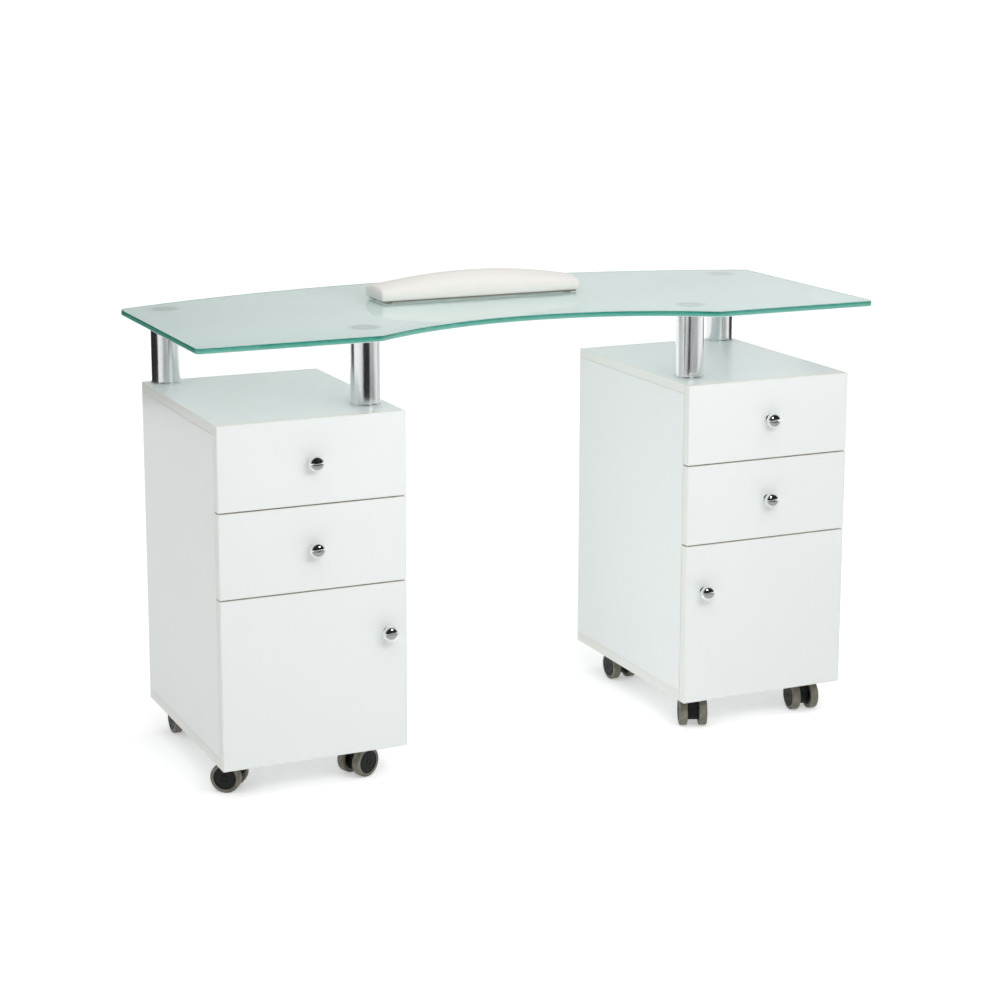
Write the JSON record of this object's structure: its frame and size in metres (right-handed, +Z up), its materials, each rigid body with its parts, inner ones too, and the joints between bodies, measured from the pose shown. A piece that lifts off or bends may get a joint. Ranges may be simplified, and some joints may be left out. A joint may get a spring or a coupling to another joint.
{
  "type": "manicure table",
  "caption": "Manicure table with a curved frosted glass top on round posts, twin pedestal cabinets with drawers and a door on swivel casters, and a padded armrest.",
  "frame": {"origin": "on the floor under the middle of the table's bounding box", "axes": "+X to the technician's right when facing the drawer fronts, +Y from the drawer fronts towards the client, +Z up"},
  "size_m": [1.2, 0.5479, 0.7785],
  "materials": {
    "frosted_glass": "polished top face, etched underside, clear green edge",
    "white_melamine": "white melamine-faced board, low sheen, taped edges",
    "drawer_board": "white foil-wrapped drawer board",
    "satin_aluminium": "satin brushed",
    "chrome": "polished",
    "zinc_steel": "zinc plated",
    "white_vinyl": "soft white upholstery vinyl",
    "white_board": "white painted plywood",
    "black_rubber": "matt",
    "black_nylon": "moulded, slight sheen",
    "grey_tread": "soft grey tread on black hubs"
  },
  "bodies": {
    "table": {"caster_plates_and_kingpins": "zinc_steel", "drawer_runner_rails": "zinc_steel", "glass_top": "frosted_glass", "hinge_plates_and_arms": "zinc_steel", "left_back_panel": "white_melamine", "left_bottom_panel": "white_melamine", "left_inner_side_panel": "white_melamine", "left_outer_side_panel": "white_melamine", "left_posts": "satin_aluminium", "left_top_panel": "white_melamine", "mid_shelves": "white_melamine", "post_bolts_and_caster_screws": "zinc_steel", "post_flanges_and_discs": "satin_aluminium", "right_back_panel": "white_melamine", "right_bottom_panel": "white_melamine", "right_inner_side_panel": "white_melamine", "right_outer_side_panel": "white_melamine", "right_posts": "satin_aluminium", "right_top_panel": "white_melamine"},
    "left_upper_drawer": {"left_upper_drawer_front": "white_melamine", "left_upper_drawer_box": "drawer_board", "left_upper_drawer_knob": "chrome", "left_upper_drawer_slides": "zinc_steel"},
    "left_lower_drawer": {"left_lower_drawer_front": "white_melamine", "left_lower_drawer_box": "drawer_board", "left_lower_drawer_knob": "chrome", "left_lower_drawer_slides": "zinc_steel"},
    "left_door": {"left_door_panel": "white_melamine", "left_door_knob": "chrome", "left_door_hinge_cups": "zinc_steel"},
    "right_upper_drawer": {"right_upper_drawer_front": "white_melamine", "right_upper_drawer_box": "drawer_board", "right_upper_drawer_knob": "chrome", "right_upper_drawer_slides": "zinc_steel"},
    "right_lower_drawer": {"right_lower_drawer_front": "white_melamine", "right_lower_drawer_box": "drawer_board", "right_lower_drawer_knob": "chrome", "right_lower_drawer_slides": "zinc_steel"},
    "right_door": {"right_door_panel": "white_melamine", "right_door_knob": "chrome", "right_door_hinge_cups": "zinc_steel"},
    "left_front_outer_caster": {"left_front_outer_caster_body": "black_nylon"},
    "left_front_outer_wheels": {"left_front_outer_caster_wheels": "grey_tread"},
    "left_front_inner_caster": {"left_front_inner_caster_body": "black_nylon"},
    "left_front_inner_wheels": {"left_front_inner_caster_wheels": "grey_tread"},
    "left_back_outer_caster": {"left_back_outer_caster_body": "black_nylon"},
    "left_back_outer_wheels": {"left_back_outer_caster_wheels": "grey_tread"},
    "left_back_inner_caster": {"left_back_inner_caster_body": "black_nylon"},
    "left_back_inner_wheels": {"left_back_inner_caster_wheels": "grey_tread"},
    "right_front_inner_caster": {"right_front_inner_caster_body": "black_nylon"},
    "right_front_inner_wheels": {"right_front_inner_caster_wheels": "grey_tread"},
    "right_front_outer_caster": {"right_front_outer_caster_body": "black_nylon"},
    "right_front_outer_wheels": {"right_front_outer_caster_wheels": "grey_tread"},
    "right_back_inner_caster": {"right_back_inner_caster_body": "black_nylon"},
    "right_back_inner_wheels": {"right_back_inner_caster_wheels": "grey_tread"},
    "right_back_outer_caster": {"right_back_outer_caster_body": "black_nylon"},
    "right_back_outer_wheels": {"right_back_outer_caster_wheels": "grey_tread"},
    "armrest": {"armrest_cushion": "white_vinyl", "armrest_base_board": "white_board", "armrest_feet": "black_rubber"}
  },
  "joints": [
    {"name": "left_upper_drawer_slide", "type": "slide", "parent": "table", "child": "left_upper_drawer", "axis": [0, -1, 0], "range_m": [0, 0.26]},
    {"name": "left_lower_drawer_slide", "type": "slide", "parent": "table", "child": "left_lower_drawer", "axis": [0, -1, 0], "range_m": [0, 0.26]},
    {"name": "left_door_swing", "type": "hinge", "parent": "table", "child": "left_door", "pos_m": [-0.566, -0.249, 0.193], "axis": [0, 0, -1], "range_deg": [0, 100]},
    {"name": "right_upper_drawer_slide", "type": "slide", "parent": "table", "child": "right_upper_drawer", "axis": [0, -1, 0], "range_m": [0, 0.26]},
    {"name": "right_lower_drawer_slide", "type": "slide", "parent": "table", "child": "right_lower_drawer", "axis": [0, -1, 0], "range_m": [0, 0.26]},
    {"name": "right_door_swing", "type": "hinge", "parent": "table", "child": "right_door", "pos_m": [0.566, -0.249, 0.193], "axis": [0, 0, 1], "range_deg": [0, 100]},
    {"name": "left_front_outer_swivel", "type": "hinge", "parent": "table", "child": "left_front_outer_caster", "pos_m": [-0.5175, -0.189, 0.045], "axis": [0, 0, 1], "continuous": true},
    {"name": "left_front_outer_roll", "type": "hinge", "parent": "left_front_outer_caster", "child": "left_front_outer_wheels", "pos_m": [-0.53347, -0.17696, 0.025], "axis": [0.6018, 0.7986, 0], "continuous": true},
    {"name": "left_front_inner_swivel", "type": "hinge", "parent": "table", "child": "left_front_inner_caster", "pos_m": [-0.3035, -0.189, 0.045], "axis": [0, 0, 1], "continuous": true},
    {"name": "left_front_inner_roll", "type": "hinge", "parent": "left_front_inner_caster", "child": "left_front_inner_wheels", "pos_m": [-0.32163, -0.19745, 0.025], "axis": [-0.4226, 0.9063, 0], "continuous": true},
    {"name": "left_back_outer_swivel", "type": "hinge", "parent": "table", "child": "left_back_outer_caster", "pos_m": [-0.5175, 0.099, 0.045], "axis": [0, 0, 1], "continuous": true},
    {"name": "left_back_outer_roll", "type": "hinge", "parent": "left_back_outer_caster", "child": "left_back_outer_wheels", "pos_m": [-0.5175, 0.119, 0.025], "axis": [1, 0, 0], "continuous": true},
    {"name": "left_back_inner_swivel", "type": "hinge", "parent": "table", "child": "left_back_inner_caster", "pos_m": [-0.3035, 0.099, 0.045], "axis": [0, 0, 1], "continuous": true},
    {"name": "left_back_inner_roll", "type": "hinge", "parent": "left_back_inner_caster", "child": "left_back_inner_wheels", "pos_m": [-0.29666, 0.08021, 0.025], "axis": [-0.9397, -0.342, 0], "continuous": true},
    {"name": "right_front_inner_swivel", "type": "hinge", "parent": "table", "child": "right_front_inner_caster", "pos_m": [0.3035, -0.189, 0.045], "axis": [0, 0, 1], "continuous": true},
    {"name": "right_front_inner_roll", "type": "hinge", "parent": "right_front_inner_caster", "child": "right_front_inner_wheels", "pos_m": [0.29569, -0.20741, 0.025], "axis": [-0.9205, 0.3907, 0], "continuous": true},
    {"name": "right_front_outer_swivel", "type": "hinge", "parent": "table", "child": "right_front_outer_caster", "pos_m": [0.5175, -0.189, 0.045], "axis": [0, 0, 1], "continuous": true},
    {"name": "right_front_outer_roll", "type": "hinge", "parent": "right_front_outer_caster", "child": "right_front_outer_wheels", "pos_m": [0.51472, -0.20881, 0.025], "axis": [-0.9903, 0.1392, 0], "continuous": true},
    {"name": "right_back_inner_swivel", "type": "hinge", "parent": "table", "child": "right_back_inner_caster", "pos_m": [0.3035, 0.099, 0.045], "axis": [0, 0, 1], "continuous": true},
    {"name": "right_back_inner_roll", "type": "hinge", "parent": "right_back_inner_caster", "child": "right_back_inner_wheels", "pos_m": [0.3035, 0.079, 0.025], "axis": [-1, 0, 0], "continuous": true},
    {"name": "right_back_outer_swivel", "type": "hinge", "parent": "table", "child": "right_back_outer_caster", "pos_m": [0.5175, 0.099, 0.045], "axis": [0, 0, 1], "continuous": true},
    {"name": "right_back_outer_roll", "type": "hinge", "parent": "right_back_outer_caster", "child": "right_back_outer_wheels", "pos_m": [0.52897, 0.08262, 0.025], "axis": [-0.8192, -0.5736, 0], "continuous": true},
    {"name": "armrest_lift", "type": "slide", "parent": "table", "child": "armrest", "axis": [0, 0, 1], "range_m": [0, 0.1]}
  ]
}
